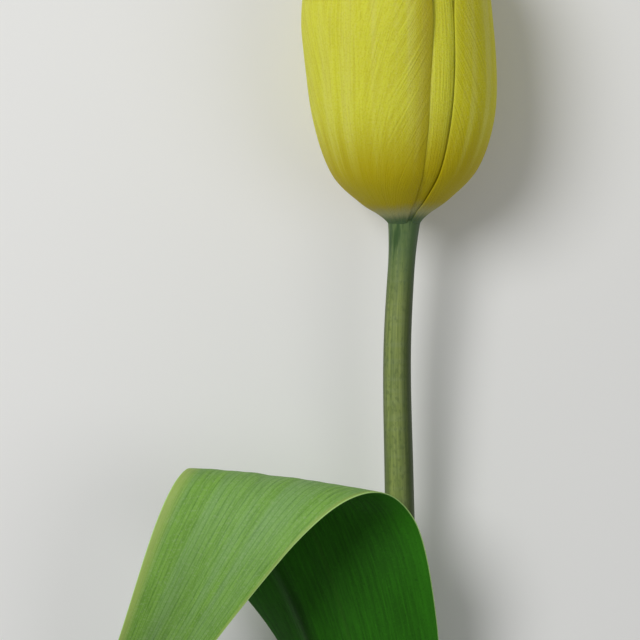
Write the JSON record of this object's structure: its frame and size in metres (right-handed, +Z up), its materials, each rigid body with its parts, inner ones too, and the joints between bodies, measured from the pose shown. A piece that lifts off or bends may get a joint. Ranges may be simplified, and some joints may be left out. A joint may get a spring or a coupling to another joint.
{
  "type": "cut tulip",
  "caption": "Single cut tulip with a closed flower, lying on its back, its leaf arching up over the stem and falling to the side.",
  "frame": {"origin": "under the middle of the object's bounding box, on the surface it lies on", "axes": "+Y along the stem towards the flower's tip, +Z up, away from the surface it lies on, +X to the right seen from above, away from the fallen half of the leaf"},
  "size_m": [0.124, 0.3276, 0.0579],
  "materials": {
    "stem": "smooth living stem, satin green with a greyish waxy bloom",
    "leaf": "waxy green leaf with fine veins along it",
    "petal": "satin yellow petal with fine veins that fan to its margins",
    "filament": "smooth, pale yellow-green",
    "anther": "matt and powdery with ochre pollen",
    "ovary": "smooth, satin pale green",
    "stigma": "downy, pale cream-yellow"
  },
  "bodies": {
    "root": {"stem": "stem", "leaf": "leaf", "outer_petal_1": "petal", "outer_petal_2": "petal", "outer_petal_3": "petal", "inner_petal_1": "petal", "inner_petal_2": "petal", "inner_petal_3": "petal", "filament_1": "filament", "filament_2": "filament", "filament_3": "filament", "filament_4": "filament", "filament_5": "filament", "filament_6": "filament", "anther_1": "anther", "anther_2": "anther", "anther_3": "anther", "anther_4": "anther", "anther_5": "anther", "anther_6": "anther", "ovary": "ovary", "stigma": "stigma"}
  },
  "joints": []
}
